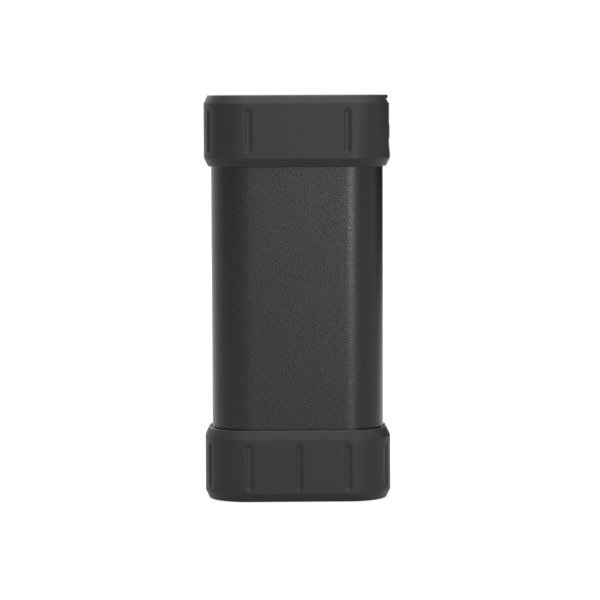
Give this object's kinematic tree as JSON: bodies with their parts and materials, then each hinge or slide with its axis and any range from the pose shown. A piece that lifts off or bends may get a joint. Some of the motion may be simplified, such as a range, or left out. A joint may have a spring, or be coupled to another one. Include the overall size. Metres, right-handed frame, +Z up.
{
  "type": "rechargeable hand warmer",
  "caption": "Upright rechargeable hand warmer: flattened aluminium tube with rubber bumpers at both ends, a hinged rubber port cover on top and a side power button.",
  "frame": {"origin": "centre of the flat underside of the bottom bumper", "axes": "+Z up along the tube, -Y is the pictured front face, +X is the side with the power button"},
  "size_m": [0.0526, 0.03, 0.1142],
  "materials": {
    "coated_aluminium": "matte",
    "bumper_rubber": "matte",
    "cover_rubber": "matte",
    "button_rubber": "matte",
    "housing_plastic": "matte",
    "seal_silicone": "matte",
    "holder_plastic": "matte",
    "cell_wrap": "satin",
    "nickel": "satin",
    "board_green": "satin",
    "chip_black": "matte",
    "ferrite_grey": "matte",
    "capacitor_can": "satin",
    "port_steel": "satin",
    "port_plastic": "satin",
    "switch_black": "satin",
    "plunger_white": "satin",
    "lamp_resin": "satin",
    "clear_plastic": "gloss",
    "pad_foam": "matte",
    "heater_film": "satin",
    "sensor_epoxy": "satin",
    "screw_steel": "satin",
    "wire_red": "satin",
    "wire_black": "satin",
    "wire_white": "satin"
  },
  "bodies": {
    "warmer_body": {"body_shell": "coated_aluminium", "top_bumper": "bumper_rubber", "bottom_bumper": "bumper_rubber", "port_cover_root": "cover_rubber", "top_frame": "housing_plastic", "bottom_plug": "housing_plastic", "top_gasket": "seal_silicone", "bottom_gasket": "seal_silicone", "switch_body": "switch_black", "light_pipe": "clear_plastic", "indicator_led_1": "lamp_resin", "indicator_led_2": "lamp_resin", "indicator_led_3": "lamp_resin", "indicator_led_4": "lamp_resin", "main_board": "board_green", "controller_chip": "chip_black", "charger_chip": "chip_black", "heater_driver": "chip_black", "inductor": "ferrite_grey", "capacitor": "capacitor_can", "usb_a_shell": "port_steel", "usb_a_tongue": "port_plastic", "usb_c_shell": "port_steel", "usb_c_tongue": "port_plastic", "battery_cell_left": "cell_wrap", "battery_cell_right": "cell_wrap", "lower_cell_holder": "holder_plastic", "upper_cell_holder": "holder_plastic", "nickel_strip_bottom": "nickel", "nickel_strip_top": "nickel", "insulation_pad_front": "pad_foam", "insulation_pad_back": "pad_foam", "heater_film_front": "heater_film", "heater_film_back": "heater_film", "heater_wire_front_1": "wire_white", "heater_wire_front_2": "wire_white", "heater_wire_back_1": "wire_white", "heater_wire_back_2": "wire_white", "battery_wire_red": "wire_red", "battery_wire_black": "wire_black", "thermistor": "sensor_epoxy", "thermistor_lead": "wire_white", "plug_screw_front": "screw_steel", "plug_screw_back": "screw_steel", "board_screw_left": "screw_steel", "board_screw_right": "screw_steel"},
    "cover_flap": {"port_cover": "cover_rubber"},
    "button": {"power_button": "button_rubber"},
    "plunger": {"switch_plunger": "plunger_white"}
  },
  "joints": [
    {"name": "port_cover_hinge", "type": "hinge", "parent": "warmer_body", "child": "cover_flap", "pos_m": [-0.01607, 0, 0.1142], "axis": [0, -1, 0], "range_deg": [0, 120]},
    {"name": "power_button_press", "type": "slide", "parent": "warmer_body", "child": "button", "axis": [-1, 0, 0], "range_m": [0, 0.0005], "stiffness_N_per_m": 1500},
    {"name": "switch_plunger_press", "type": "slide", "parent": "warmer_body", "child": "plunger", "axis": [-1, 0, 0], "range_m": [0, 0.0005]}
  ],
  "couplings": [
    {"joint": "switch_plunger_press", "follows": "power_button_press", "ratio": 1}
  ]
}
